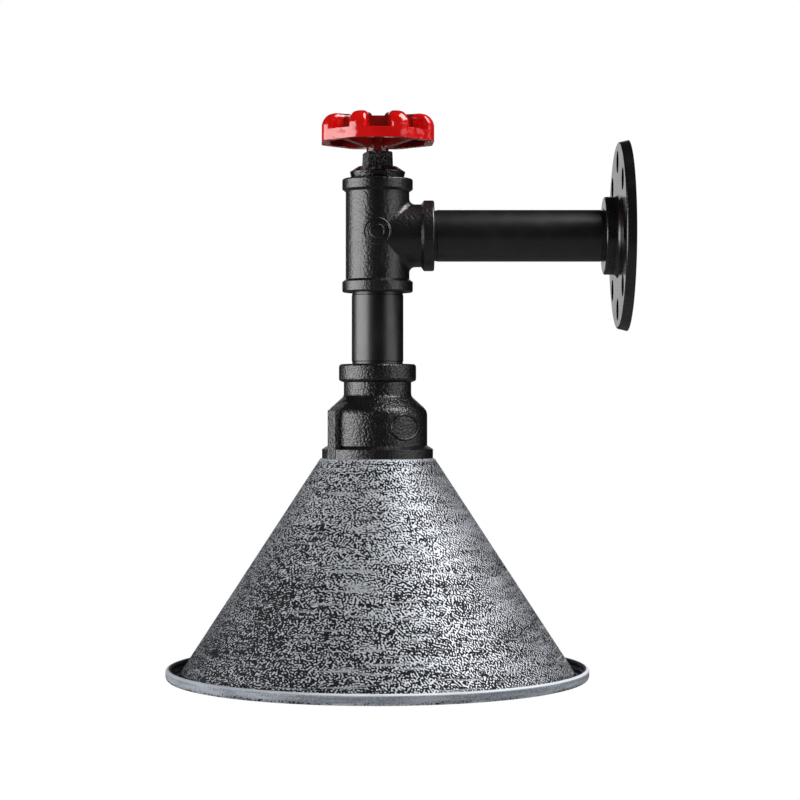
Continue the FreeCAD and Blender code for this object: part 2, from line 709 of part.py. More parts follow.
def make_reducing_socket():
    neck_foot = "socket_band + socket_neck"
    bell_foot = neck_foot + " + socket_bell"
    rim_top = "socket_long - socket_rim"
    body = turned("reducing_socket", [
        ("0", "0"),
        ("socket_top_od / 2", "0"),
        ("socket_top_od / 2", "-socket_band"),
        ("socket_neck_od / 2", "-socket_band - mouth_bevel"),
        ("socket_neck_od / 2", f"-({neck_foot})"),
        ("socket_body_od / 2", f"-({bell_foot})"),
        ("socket_body_od / 2", f"-({rim_top}) + socket_rim_slope"),
        ("socket_rim_od / 2", f"-({rim_top})"),
        ("socket_rim_od / 2", "-socket_long"),
        ("0", "-socket_long"),
    ])
    soften(body, "socket_neck_fillet",
           ring_edges(body, ("socket_neck_od", f"-({neck_foot})")), "crease_round")
    soften(body, "socket_shoulder_round",
           ring_edges(body, ("socket_body_od", f"-({bell_foot})")), "socket_shoulder")
    band = ring_edges(body, ("socket_top_od", "0"), ("socket_top_od", "-socket_band"))
    soften(body, "socket_band_round", band, "socket_edge")

    rib_turn = FreeCAD.Rotation(FreeCAD.Vector(0, 1, 0), size("rib_turn"))
    rib = draw_outline(new_sketch(body, "rib_outline", turn=rib_turn), [
        ("socket_hollow_od / 2", "-socket_long"),
        ("socket_rim_od / 2", "-socket_long"),
        ("socket_rim_od / 2", f"-({bell_foot})"),
        ("socket_neck_od / 2 + crease_round", f"-({neck_foot}) - crease_round"),
        ("socket_neck_od / 2", f"-({bell_foot})"),
    ])
    rib_pad = push(body, "Pad", "rib_form", rib, "rib_wide", midplane=True)
    round_pattern(body, "socket_ribs", [rib_pad], "rib_count")

    thread = "pipe_thread_od / 2 + thread_play"
    shoulder = "-(socket_long - socket_wide_deep)"
    bore = draw_outline(new_sketch(body, "socket_bore_outline"), [
        ("0", "0"),
        ("pipe_thread_od / 2 + mouth_bevel", "0"),
        (thread, "-mouth_bevel"),
        (thread, "-thread_deep"),
        ("water_way / 2", "-thread_deep"),
        ("water_way / 2", "-thread_deep - mouth_bevel * 2"),
        ("socket_hollow_od / 2", f"-({bell_foot})"),
        ("socket_hollow_od / 2", shoulder),
        ("socket_wide_od / 2", shoulder),
        ("socket_wide_od / 2", "-socket_long"),
        ("0", "-socket_long"),
    ])
    swing(body, "Groove", "socket_bore", bore)
    node(on_drop_axis(body, "socket_head"), "reducing_socket")


# Holder bush, tube, nut, lock washer and earth tag inside the reducing socket

def make_holder_bush():
    body = turned("holder_bush", [
        ("nipple_od / 2 + thread_play", "0"),
        ("socket_wide_od / 2 - thread_play", "0"),
        ("socket_wide_od / 2 - thread_play", "-bush_thick"),
        ("nipple_od / 2 + thread_play", "-bush_thick"),
    ])
    hole = new_sketch(body, "spanner_outline", "XY_Plane", lift="-bush_thick")
    draw_circle(hole, "spanner_hole", up="spanner_circle / 2")
    blind = push(body, "Pocket", "spanner_cut", hole, "bush_thick / 2", reverse=True)
    round_pattern(body, "spanner_holes", [blind], "2")
    node(on_drop_axis(body, "bush_seat"), "holder_bush")


def make_holder_nipple():
    long = "nipple_top - nipple_foot"
    tube = cut("nipple_tube",
               rod("nipple_outside", "nipple_od", long),
               rod("nipple_inside", "nipple_bore", long))
    node(on_drop_axis(tube, "nipple_foot"), "holder_nipple")


def make_earth_tag():
    tail = block("tag_tail", "tag_barrel_od", "tag_reach", "tag_thick",
                 "-tag_barrel_od / 2", "-tag_reach")
    plate = fused("tag_plate", [
        rod("tag_ring", "tag_od", "tag_thick"),
        tail,
        rod("tag_barrel_wall", "tag_barrel_od", "tag_thick + tag_barrel", y="-tag_reach"),
    ])
    holes = fused("tag_holes", [
        rod("tag_eye", "nipple_od + 2 * thread_play", "tag_thick"),
        rod("tag_barrel_bore", "wire_od + 2 * wire_play", "tag_barrel", y="-tag_reach",
            z="tag_thick"),
    ])
    node(on_drop_axis(cut("tag_form", plate, holes), "bush_seat"), "earth_tag")


def make_lock_washer():
    body = new_body("lock_washer")
    disc = draw_circle(new_sketch(body, "lock_outline", "XY_Plane"), "lock_od")
    draw_circle(disc, "nipple_od + 2 * thread_play")
    push(body, "Pad", "lock_form", disc, "lock_thick")
    gap = "(lock_od - nipple_od) / 8"
    notch = draw_outline(new_sketch(body, "notch_outline", "XY_Plane"), [
        (f"lock_od / 2 - 2 * {gap}", f"-{gap} / 2"),
        ("lock_od / 2 + lock_thick", f"-{gap}"),
        ("lock_od / 2 + lock_thick", gap),
        (f"lock_od / 2 - 2 * {gap}", f"{gap} / 2"),
    ])
    notch_cut = push(body, "Pocket", "notch_cut", notch, reverse=True)
    round_pattern(body, "lock_notches", [notch_cut], "lock_teeth")
    node(on_drop_axis(body, "lock_seat"), "lock_washer")


def make_nipple_nut():
    hexagon = doc.addObject("Part::Prism", "nut_hexagon")
    hexagon.Polygon = 6
    bind(hexagon, ".Circumradius", "nut_flats / sqrt(3)")
    bind(hexagon, ".Height", "nut_high")
    nut = cut("nut_form", hexagon, rod("nut_bore", "nipple_od + 2 * thread_play", "nut_high"))
    node(on_drop_axis(nut, "nut_seat"), "nipple_nut")


# Lampholder: cap, ceramic insert, contacts, shell and shade ring

def make_holder_cap():
    spigot_bore = "spigot_od / 2 + thread_play"
    body = turned("holder_cap", [
        ("nipple_od / 2 + thread_play", "0"),
        ("cap_neck_od / 2", "0"),
        ("cap_neck_od / 2", "-cap_neck"),
        ("holder_od / 2", "-cap_neck"),
        ("holder_od / 2", "-cap_high"),
        (spigot_bore, "-cap_high"),
        (spigot_bore, "-cap_press"),
        ("core_rim_bore / 2 + cap_wall / 2", "-cap_press"),
        ("core_rim_bore / 2 + cap_wall / 2", "-cap_neck - cap_wall"),
        ("nipple_od / 2 + thread_play", "-cap_neck - cap_wall"),
    ])
    soften(body, "cap_dome_round", ring_edges(body, ("holder_od", "-cap_neck")), "cap_dome")
    inner = ring_edges(body, ("core_rim_bore + cap_wall", "-cap_neck - cap_wall"))
    soften(body, "cap_inner_round", inner, "cap_dome - cap_wall * 2")
    side = new_sketch(body, "lock_hole_outline", "YZ_Plane")
    draw_circle(side, "lock_screw + 2 * thread_play", up="-cap_neck / 2")
    push(body, "Pocket", "lock_hole", side, "cap_neck_od", reverse=True)
    node(on_drop_axis(body, "cap_seat"), "holder_cap")


def make_cap_lock_screw():
    along_x = FreeCAD.Rotation(FreeCAD.Vector(0, 1, 0), 90)
    long = "(cap_neck_od - nipple_od) / 2 - thread_play"
    stud = rod("lock_screw_stud", "lock_screw", long, x="nipple_od / 2 + thread_play",
               rotation=along_x)
    slot = block("lock_screw_slot", "screw_slot", "lock_screw", "screw_slot / 2",
                 "cap_neck_od / 2 - screw_slot", "-lock_screw / 2", "-screw_slot / 4")
    node(on_drop_axis(cut("lock_screw_form", stud, slot), "cap_seat - cap_neck / 2"),
         "cap_lock_screw")


def make_holder_core():
    outside = "shell_bore / 2 - core_play"
    sleeve = "lamp_bore / 2 + sheet_brass + core_play"
    body = turned("holder_core", [
        ("0", "0"),
        ("core_rim_bore / 2", "0"),
        ("core_rim_bore / 2", "core_rim"),
        (outside, "core_rim"),
        (outside, "-core_long"),
        (sleeve, "-core_long"),
        (sleeve, "-core_floor"),
        ("0", "-core_floor"),
    ])
    holes = new_sketch(body, "rivet_hole_outline", "XY_Plane")
    draw_circle(holes, "rivet + 2 * wire_play", across="-live_rivet_at")
    draw_circle(holes, "rivet + 2 * wire_play", across="neutral_rivet_at")
    push(body, "Pocket", "rivet_holes", holes, "core_floor")
    node(on_drop_axis(body, "core_seat"), "holder_core")


def make_screw_shell():
    outside = "lamp_bore / 2 + sheet_brass"
    foot = "-(core_long - core_floor) + sleeve_short"
    body = turned("screw_shell", [
        ("flange_bore / 2", "0"),
        (outside + " - shell_neck_in", "0"),
        (outside + " - shell_neck_in", "-shell_neck"),
        (outside, "-shell_neck"),
        (outside, foot),
        ("lamp_bore / 2", foot),
        ("lamp_bore / 2", "-shell_neck - sheet_brass"),
        ("lamp_bore / 2 - shell_neck_in", "-shell_neck - sheet_brass"),
        ("lamp_bore / 2 - shell_neck_in", "-sheet_brass"),
        ("flange_bore / 2", "-sheet_brass"),
    ])
    hole = new_sketch(body, "shell_rivet_outline", "XY_Plane")
    draw_circle(hole, "rivet + 2 * wire_play", across="neutral_rivet_at")
    push(body, "Pocket", "shell_rivet_hole", hole, "sheet_brass")
    node(on_drop_axis(body, "roof"), "screw_shell")


def make_centre_contact():
    body = new_body("centre_contact")
    strip = draw_outline(new_sketch(body, "strip_outline"), [
        ("-strip_back", "0"),
        ("strip_front", "0"),
        ("strip_front", "-strip_drop + sheet_brass"),
        ("-strip_front", "-strip_drop - sheet_brass"),
        ("-strip_front", "-strip_drop"),
        ("strip_front - sheet_brass", "-strip_drop + 2 * sheet_brass"),
        ("strip_front - sheet_brass", "-sheet_brass"),
        ("-strip_back", "-sheet_brass"),
    ])
    push(body, "Pad", "strip_form", strip, "strip_wide", midplane=True)
    hole = new_sketch(body, "strip_hole_outline", "XY_Plane")
    draw_circle(hole, "rivet + 2 * wire_play", across="-live_rivet_at")
    push(body, "Pocket", "strip_hole", hole, "sheet_brass")
    node(on_drop_axis(body, "roof"), "centre_contact")


def make_contact_rivets():
    shank = "core_floor + sheet_brass + rivet_in"
    studs = []
    for name, at in (("live", "-live_rivet_at"), ("neutral", "neutral_rivet_at")):
        studs.append(fused(name + "_rivet", [
            rod(name + "_rivet_shank", "rivet", shank, x=at),
            rod(name + "_rivet_head", "rivet_head", "rivet_head_high", x=at,
                z="-rivet_head_high"),
        ]))
    pair = doc.addObject("Part::Compound", "rivet_pair")
    pair.Links = studs
    node(on_drop_axis(pair, "roof - sheet_brass"), "contact_rivets")


def make_terminal(name, rivet_at, turn):
    """Brass block with a wire hole from the inner end, a screw hole and a rivet hole."""
    along_x = FreeCAD.Rotation(FreeCAD.Vector(0, 1, 0), 90)
    body = block(name + "_block", "block_long", "block_wide", "block_high",
                 "block_near", "-block_wide / 2")
    holes = fused(name + "_holes", [
        rod(name + "_wire_hole", "wire_od + 2 * wire_play", "block_long - rivet", x="block_near",
            z="block_high / 2", rotation=along_x),
        rod(name + "_clamp_hole", "clamp_screw + 2 * thread_play", "block_high / 2",
            x="clamp_at", z="block_high / 2"),
        rod(name + "_rivet_hole", "rivet + 2 * wire_play", "rivet_in", x=rivet_at),
    ])
    piece = cut(name + "_form", body, holes)
    node(on_drop_axis(piece, "core_seat", FreeCAD.Rotation(UP, turn)), name)


def make_terminal_screws():
    shank = "block_high / 2 - wire_od / 2"
    screws = []
    for name, side in (("live_clamp", "-"), ("neutral_clamp", "")):
        at = side + "clamp_at"
        screw = fused(name, [
            rod(name + "_shank", "clamp_screw", shank, x=at, z="wire_od / 2"),
            rod(name + "_head", "clamp_head", "clamp_head_high", x=at, z="block_high / 2"),
        ])
        slot = block(name + "_slot", "clamp_head", "screw_slot / 2", "clamp_head_high / 2",
                     at + " - clamp_head / 2", "-screw_slot / 4",
                     "block_high / 2 + clamp_head_high / 2")
        screws.append(cut(name + "_slotted", screw, slot))
    pair = doc.addObject("Part::Compound", "clamp_pair")
    pair.Links = screws
    node(on_drop_axis(pair, "wire_level"), "terminal_screws")


def make_holder_shell():
    body = turned("holder_shell", [
        ("shell_bore / 2", "cap_high - cap_press"),
        ("spigot_od / 2", "cap_high - cap_press"),
        ("spigot_od / 2", "0"),
        ("holder_od / 2", "0"),
        ("holder_od / 2", "-shell_long"),
        ("shell_lip_bore / 2", "-shell_long"),
        ("shell_lip_bore / 2", "-shell_long + shell_lip"),
        ("shell_bore / 2", "-shell_long + shell_lip"),
    ])
    soften(body, "shell_end_round", ring_edges(body, ("holder_od", "-shell_long")), "band_round")
    node(on_drop_axis(body, "shell_seat"), "holder_shell")


def make_shade_ring():
    bore = "holder_od / 2 + thread_play"
    body = turned("shade_ring", [
        (bore, "0"),
        ("ring_flange_od / 2", "0"),
        ("ring_flange_od / 2", "-ring_flange"),
        ("ring_od / 2", "-ring_flange"),
        ("ring_od / 2", "-ring_high"),
        (bore, "-ring_high"),
    ])
    grip = new_sketch(body, "grip_outline", "XY_Plane", lift="-ring_flange")
    draw_outline(grip, [
        ("ring_od / 2 - ring_grip", "-ring_grip_wide / 2"),
        ("ring_od / 2 + ring_grip", "-ring_grip_wide / 4"),
        ("ring_od / 2 + ring_grip", "ring_grip_wide / 4"),
        ("ring_od / 2 - ring_grip", "ring_grip_wide / 2"),
    ])
    rib = push(body, "Pad", "grip_form", grip, "ring_high - ring_flange", reverse=True)
    round_pattern(body, "ring_grips_around", [rib], "ring_grips")
    node(on_drop_axis(body, "ring_seat"), "shade_ring")


# Shade: spun cone with a flat top, a turned-up lip and a rolled edge

def make_shade():
    hole = "holder_od / 2 + holder_play"
    cone_top = "shade_top_od / 2"
    lip = "lip_od / 2"
    lip_top = "-shade_high + lip_high - bead / 2"
    inner_top = "shade_top_od / 2 + shade_slope * shade_wall - shade_across"
    inner_low = "shade_top_od / 2 + shade_slope * shade_high - shade_across"
    body = turned("shade", [
        (hole, "0"),
        (cone_top, "0"),
        ("shade_low_od / 2", "-shade_high + shade_wall"),
        (lip + " - shade_wall", "-shade_high + shade_wall"),
        (lip + " - shade_wall", lip_top),
        (lip, lip_top),
        (lip, "-shade_high"),
        (inner_low, "-shade_high"),
        (inner_top, "-shade_wall"),
        (hole, "-shade_wall"),
    ])
    soften(body, "top_edge_round", ring_edges(body, ("shade_top_od", "0")), "shade_round")
    outer_turns = ring_edges(body, ("shade_low_od", "-shade_high + shade_wall"),
                             ("lip_od", "-shade_high"))
    soften(body, "rim_turns", outer_turns, "brim_round")
    soften(body, "cone_foot_round", ring_edges(body, (f"2 * ({inner_low})", "-shade_high")),
           "brim_round")
    bead = new_sketch(body, "bead_outline")
    draw_circle(bead, "bead", across=lip + " - bead / 2", up=lip_top)
    swing(body, "Revolution", "rolled_edge", bead)
    node(on_drop_axis(body, "socket_face"), "shade")


# Inner wiring: three wires from the lampholder to the wall flange

def bent_wire(points, bends):
    """Round wire along straight runs joined by tangent arcs, one bend for each inner point."""
    start = points[0]
    edges = []
    for before, corner, after, bend in zip(points, points[1:], points[2:], bends):
        back = (before - corner).normalize()
        ahead = (after - corner).normalize()
        half = back.getAngle(ahead) / 2
        run = bend / math.tan(half)
        middle = corner + (back + ahead).normalize() * (bend / math.sin(half) - bend)
        edges.append(Part.LineSegment(start, corner + back * run).toShape())
        edges.append(Part.Arc(corner + back * run, middle, corner + ahead * run).toShape())
        start = corner + ahead * run
    edges.append(Part.LineSegment(start, points[-1]).toShape())
    path = Part.Wire(edges)
    radius = size("wire_od / 2")
    section = Part.Wire([Part.makeCircle(radius, points[0], points[1] - points[0])])
    solid = path.makePipeShell([section], True, False)
    whole = math.pi * radius ** 2 * path.Length
    print(f"wire {path.Length:.1f} mm long, volume {solid.Volume / whole:.4f} of its section"
          f" times its length, bends {[round(bend, 1) for bend in bends]}")
    return solid


def spot(x, y, z):
    """Place inside the lamp: x and y from the drop axis, z from the arm's axis."""
    return FreeCAD.Vector(size(x), size(y) - size("drop_out"), size(z))


def make_wire(name, points, bends):
    """The given stretch, then up the drop pipe and along the arm to the wall."""
    upright = points[-1].x
    points = points + [
        FreeCAD.Vector(upright, -size("drop_out"), size("wire_floor")),
        FreeCAD.Vector(upright, -size("wire_end"), size("wire_floor")),
    ]
    wire = doc.addObject("Part::Feature", name + "_form")
    wire.Shape = bent_wire(points, bends + [size("wire_sweep")])
    node(wire, name)


def make_wires():
    tight = size("block_near - wire_apart")
    for name, side in (("live_wire", "-"), ("neutral_wire", "")):
        make_wire(name, [
            spot(side + "(block_near + block_long - rivet)", "0", "wire_level"),
            spot(side + "wire_apart", "0", "wire_level"),
        ], [tight])
    barrel_top = "lock_seat + tag_barrel"
    make_wire("earth_wire", [
        spot("0", "-tag_reach", "lock_seat"),
        spot("0", "-tag_reach", barrel_top + " + wire_od / 2"),
        spot("0", "0", barrel_top + " + earth_rise"),
    ], [size("tag_reach / 2"), size("tag_reach / 2")])


def make_ferrules():
    towards_wall = FreeCAD.Rotation(FreeCAD.Vector(1, 0, 0), -90)
    sleeves = []
    for name, x in (("live", "-wire_apart"), ("earth", "0"), ("neutral", "wire_apart")):
        sleeves.append(cut(
            name + "_ferrule",
            rod(name + "_ferrule_outside", "ferrule_od", "ferrule_long", x=x,
                rotation=towards_wall),
            rod(name + "_ferrule_inside", "wire_od", "ferrule_long", x=x,
                rotation=towards_wall)))
    trio = doc.addObject("Part::Compound", "ferrule_trio")
    trio.Links = sleeves
    node(place(trio, y="-wire_end - ferrule_long", z="wire_floor"), "wire_ferrules")


make_wall_flange()
make_arm_pipe()
make_tee()
make_top_plug()
make_handwheel()
make_wheel_fixings()
make_drop_pipe()
make_reducing_socket()
make_holder_bush()
make_earth_tag()
make_lock_washer()
make_nipple_nut()
make_holder_nipple()
make_holder_cap()
make_cap_lock_screw()
make_holder_core()
make_terminal("live_terminal", "live_rivet_at", TURN / 2)
make_terminal("neutral_terminal", "neutral_rivet_at", 0)
make_terminal_screws()
make_contact_rivets()
make_centre_contact()
make_screw_shell()
make_holder_shell()
make_shade_ring()
make_shade()
make_wires()
make_ferrules()
doc.recompute()

# Nothing is written unless every object and every piece is sound

for thing in doc.Objects:
    if "Invalid" in thing.State or "Error" in thing.State:
        raise ValueError(f"{thing.Name} failed: {thing.State}")
for piece in NODES:
    if piece.Shape.isNull() or not piece.Shape.isValid() or piece.Shape.Volume <= 0:
        raise ValueError(f"{piece.Label} has no sound solid")

os.makedirs("parts", exist_ok=True)
for piece in NODES:
    piece.Shape.exportStep(f"parts/{piece.Label}.step")
    box = piece.Shape.BoundBox
    print(f"{piece.Label}: {len(piece.Shape.Solids)} solid(s), volume {piece.Shape.Volume:.1f}, "
          f"x {box.XMin:.2f} {box.XMax:.2f}, y {box.YMin:.2f} {box.YMax:.2f}, "
          f"z {box.ZMin:.2f} {box.ZMax:.2f}")
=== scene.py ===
import math

import bpy
import mathutils
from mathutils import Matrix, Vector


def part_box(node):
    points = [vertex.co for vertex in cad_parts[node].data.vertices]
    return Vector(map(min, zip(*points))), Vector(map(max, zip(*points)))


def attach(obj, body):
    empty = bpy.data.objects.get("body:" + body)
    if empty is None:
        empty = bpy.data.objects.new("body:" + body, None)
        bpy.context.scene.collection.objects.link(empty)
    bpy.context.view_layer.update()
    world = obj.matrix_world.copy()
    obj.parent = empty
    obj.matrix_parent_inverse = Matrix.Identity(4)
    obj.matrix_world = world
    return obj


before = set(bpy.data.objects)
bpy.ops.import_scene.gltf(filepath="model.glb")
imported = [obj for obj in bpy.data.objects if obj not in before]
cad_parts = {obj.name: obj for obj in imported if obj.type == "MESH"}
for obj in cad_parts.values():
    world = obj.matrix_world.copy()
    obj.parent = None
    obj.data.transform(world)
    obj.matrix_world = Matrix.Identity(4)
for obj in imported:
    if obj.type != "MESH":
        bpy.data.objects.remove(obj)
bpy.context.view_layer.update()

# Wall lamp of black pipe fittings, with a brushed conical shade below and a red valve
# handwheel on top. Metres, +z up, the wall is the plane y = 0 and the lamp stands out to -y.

bpy.ops.object.select_all(action="DESELECT")


# Wall flange
# Malleable iron floor flange with a threaded boss and eight recessed screw holes. It is cast,
# faced on the lathe, painted satin black and screwed to the wall.

class Signal:
    """One output of a shader node. Arithmetic on signals adds the Math nodes for it."""

    def __init__(self, output):
        self.output = output

    def node(self, kind, settings, inputs, take=0):
        """Adds a node of any kind to the same tree, and gives the output asked for."""
        tree = self.output.id_data
        added = tree.nodes.new("ShaderNode" + kind)
        for name, setting in settings.items():
            setattr(added, name, setting)
        for socket, given in inputs.items():
            if isinstance(given, Signal):
                tree.links.new(given.output, added.inputs[socket])
            else:
                added.inputs[socket].default_value = given
        return Signal(added.outputs[take])

    def math(self, operation, first, second):
        return self.node("Math", {"operation": operation}, {0: first, 1: second})

    def __add__(self, other):
        return self.math("ADD", self, other)

    def __sub__(self, other):
        return self.math("SUBTRACT", self, other)

    def __mul__(self, other):
        return self.math("MULTIPLY", self, other)

    def __truediv__(self, other):
        return self.math("DIVIDE", self, other)

    def __rsub__(self, other):
        return self.math("SUBTRACT", other, self)

    __radd__ = __add__
    __rmul__ = __mul__

    def rise(self, low, high):
        """0 below the low value, 1 above the high one, smooth between them."""
        settings = {"interpolation_type": "SMOOTHSTEP"}
        return self.node("MapRange", settings, {0: self, 1: low, 2: high})

    def grain(self, cell, detail=2.0, stretch=(1, 1, 1), distortion=0.0):
        """Noise over a place, from 0 to 1, whose cells are this many metres across."""
        scale = [side / cell for side in stretch]
        scaled = self.node("Mapping", {}, {"Vector": self, "Scale": scale})
        return self.node("TexNoise", {}, {
            "Vector": scaled, "Scale": 1.0, "Detail": detail, "Distortion": distortion})

    def ridges(self, spacing):
        """Winding ridges over a place, from 0 to 1, this many metres apart."""
        waves_per_cell = 2.0
        cell = spacing * waves_per_cell
        lean = (0.0, -0.5, 0.85)
        scaled = self.node("Mapping", {}, {"Vector": self, "Scale": [1 / cell] * 3})
        return self.node("TexGabor", {"gabor_type": "3D"}, {
            "Vector": scaled, "Scale": 1.0, "Frequency": waves_per_cell, "Anisotropy": 0.3, 5: lean})

    def from_axis(self, across, along):
        """Distance of a place from the upright axis at these x and y."""
        level = self.node("VectorMath", {"operation": "MULTIPLY_ADD"}, {
            0: self, 1: (1, 1, 0), 2: (-across, -along, 0)})
        return level.node("VectorMath", {"operation": "LENGTH"}, {0: level}, take="Value")

    def height(self):
        return self.node("SeparateXYZ", {}, {0: self}, take="Z")

    def between(self, first, second):
        """The first colour where this mask is 0, the second where it is 1."""
        return self.node("Mix", {"data_type": "RGBA"}, {0: self, 6: first, 7: second}, take=2)


def new_finish(name):
    """An empty material, its shader, and the place on the lamp that is being painted."""
    finish = bpy.data.materials.new(name)
    finish.use_nodes = True
    tree = finish.node_tree
    place = Signal(tree.nodes.new("ShaderNodeTexCoord").outputs["Object"])
    return finish, tree.nodes["Principled BSDF"], place


def set_finish(shader, values):
    """Sets sockets of the shader to plain values, or links signals to them."""
    for socket, given in values.items():
        if isinstance(given, Signal):
            shader.id_data.links.new(given.output, shader.inputs[socket])
        else:
            shader.inputs[socket].default_value = given


def raised(relief, depth):
    """Surface that stands out by the depth, in metres, where the relief is 1."""
    return relief.node("Bump", {}, {"Strength": 1.0, "Distance": depth, "Height": relief})


def dress(finish, *names):
    """Gives CAD pieces their finish."""
    for name in names:
        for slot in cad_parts[name].material_slots:
            slot.material = finish


fresh_black = (0.0025, 0.0025, 0.0027, 1)
rubbed_black = (0.006, 0.006, 0.006, 1)


def black_paint(name, cell, depth, roughness, shine=1.0, smooth_below=None):
    """Satin black paint over iron. Cell and depth are the size of the skin's grain, in metres.

    The skin is a quarter as deep below the height given as smooth_below.
    """
    finish, shader, place = new_finish(name)
    coarse = place.grain(cell, detail=1.0)
    fine = place.grain(cell / 3, detail=2.0)
    patches = place.grain(cell * 8, detail=3.0)
    skin = coarse.rise(0.3, 0.7) + fine * 0.1
    if smooth_below is not None:
        head = place.height().rise(smooth_below - 0.001, smooth_below + 0.001)
        skin = skin * (0.25 + head * 0.75)
    set_finish(shader, {
        "Base Color": patches.rise(0.45, 0.75).between(fresh_black, rubbed_black),
        "Roughness": roughness + (patches - 0.5) * 0.12 + (fine - 0.5) * 0.08,
        "IOR": 1.6,
        "Specular IOR Level": shine,
        "Normal": raised(skin, depth),
    })
    return finish


flange_paint = black_paint("flange_paint", cell=0.0016, depth=0.00001, roughness=0.26)
dress(flange_paint, "wall_flange")


# Arm pipe and drop pipe
# Two short lengths of drawn steel pipe, threaded at both ends and screwed up tight in the
# fittings. The black paint lies smooth on them, with a fine even grain.

pipe_paint = black_paint("pipe_paint", cell=0.0010, depth=0.000005, roughness=0.36)
dress(pipe_paint, "arm_pipe", "drop_pipe")


# Tee
# Malleable iron tee with a band at each mouth, screwed on the arm pipe. The cast skin shows
# through the paint like coarse leather, and two plain rings stand on the casting's side.

fitting_paint = black_paint("fitting_paint", cell=0.0014, depth=0.00008, roughness=0.33)
dress(fitting_paint, "tee")

drop_axis = -0.130
tee_radius = 0.0166


def cast_ring(name, carrier, finish, middle, radius, thickness):
    """Plain ring cast on a round fitting's +x side.

    It starts as a circle in front of the fitting, which is pressed onto the skin and thickened.
    """
    bpy.ops.mesh.primitive_circle_add(
        vertices=72, radius=radius, location=middle, rotation=(0, math.radians(90), 0))
    ring = bpy.context.object
    ring.name = name
    bpy.ops.object.transform_apply(location=True, rotation=True, scale=True)
    wrap = ring.modifiers.new("wrap", "SHRINKWRAP")
    wrap.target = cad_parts[carrier]
    wrap.wrap_method = "PROJECT"
    wrap.use_project_x = True
    wrap.use_positive_direction = False
    wrap.use_negative_direction = True
    bpy.ops.object.modifier_apply(modifier="wrap")
    bpy.ops.object.convert(target="CURVE")
    ring.data.bevel_depth = thickness / 2
    ring.data.bevel_resolution = 5
    bpy.ops.object.convert(target="MESH")
    bpy.ops.object.shade_smooth()
    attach(ring, "lamp_body")
    ring.data.materials.append(finish)
    bpy.ops.object.select_all(action="DESELECT")


rings_height = 0.0011
before_tee = (tee_radius * 2, drop_axis, rings_height)
cast_ring("tee_sign_ring", "tee", fitting_paint, before_tee, radius=0.0068, thickness=0.0012)
cast_ring("tee_sign_inner_ring", "tee", fitting_paint, before_tee, radius=0.0036, thickness=0.0010)


# Top plug
# Malleable iron plug, screwed into the tee's upper mouth. Its collar is fairly smooth, and
# the square head, which carries the wheel, has kept the rough skin of the casting.

head_foot = 0.0361
plug_paint = black_paint(
    "plug_paint", cell=0.0012, depth=0.00036, roughness=0.20, shine=0.75, smooth_below=head_foot)
dress(plug_paint, "top_plug")


# Handwheel
# One casting: eight finger pockets between domed lobes, a skirt that is open below, and four
# arms to the hub. It is sprayed with glossy red enamel, which is slightly wavy. Shade is painted
# into the red: it is darker inside the rim and under the skirt.

wheel_enamel, shader, place = new_finish("wheel_enamel")
waves = place.grain(0.0060, detail=1.0)
peel = place.grain(0.0030, detail=1.0)
pits = place.grain(0.0011, detail=1.0)
tint = place.grain(0.012, detail=2.0)

rim_inner_radius = 0.0210
skirt_inner_radius = 0.0265
skirt_depth = 0.0079
skirt_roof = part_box("handwheel")[0].z + skirt_depth
out = place.from_axis(0, drop_axis)
in_rim = 1 - out.rise(rim_inner_radius - 0.0008, rim_inner_radius + 0.0008)
in_skirt = 1 - out.rise(skirt_inner_radius - 0.0003, skirt_inner_radius + 0.0003)
under_roof = 1 - place.height().rise(skirt_roof, skirt_roof + 0.0005)
# Painted shade: the red is darkened inside the rim and under the skirt's roof.
hollow = 1 - (1 - in_rim * 0.75) * (1 - in_skirt * under_roof * 0.8)

full_red = (0.70, 0.001, 0.001, 1)
bright_red = (0.82, 0.002, 0.002, 1)
painted_shade_red = (0.12, 0.005, 0.003, 1)
set_finish(shader, {
    "Base Color": hollow.between(tint.rise(0.3, 0.7).between(full_red, bright_red), painted_shade_red),
    "Roughness": 0.13 + tint * 0.08,
    "Specular IOR Level": 0.7,
    "Coat Weight": 1.0,
    "Coat Roughness": 0.06,
    "Normal": raised(waves * 0.88 + peel * 0.09 + pits * 0.03, 0.00090),
})
dress(wheel_enamel, "handwheel")


# Fasteners and small steel pieces
# Zinc-plated steel: the wheel's washer and slotted screw, the bush, tag, washer, nut and tube
# that hold the lampholder inside the reducing socket, and the holder's small screws. The
# ferrules on the wire ends have the same finish.

zinc_plate, shader, place = new_finish("zinc_plate")
bloom = place.grain(0.004, detail=3.0)
rub = place.grain(0.0006, detail=1.0)
dull_zinc = (0.46, 0.47, 0.50, 1)
bright_zinc = (0.62, 0.63, 0.64, 1)
set_finish(shader, {
    "Base Color": bloom.rise(0.35, 0.7).between(dull_zinc, bright_zinc),
    "Metallic": 1.0,
    "Roughness": 0.26 + bloom * 0.2,
    "Normal": raised(rub, 0.00002),
})
dress(zinc_plate, "handwheel_washer", "handwheel_screw", "holder_bush", "earth_tag", "lock_washer",
      "nipple_nut", "holder_nipple", "cap_lock_screw", "terminal_screws", "wire_ferrules")


# Reducing socket
# Bell-shaped malleable iron socket with two ribs and a plain ring on its side. Its cast skin
# is rougher than the tee's. It is screwed on the drop pipe, backs the shade and hides the top
# of the lampholder.

socket_paint = black_paint("socket_paint", cell=0.0012, depth=0.00014, roughness=0.32)
dress(socket_paint, "reducing_socket")

socket_radius = 0.0255
ring_along = 0.0143
ring_height = -0.0994
before_socket = (socket_radius * 2, drop_axis + ring_along, ring_height)
cast_ring("socket_sign_ring", "reducing_socket", socket_paint, before_socket,
          radius=0.0064, thickness=0.0017)


# Lampholder
# Black moulded phenolic cap, body and shade ring round a white steatite insert, with pressed
# brass contacts and screw shell. The cap is screwed on the hollow tube, the body on the cap,
# and the ring clamps the shade up against the socket.

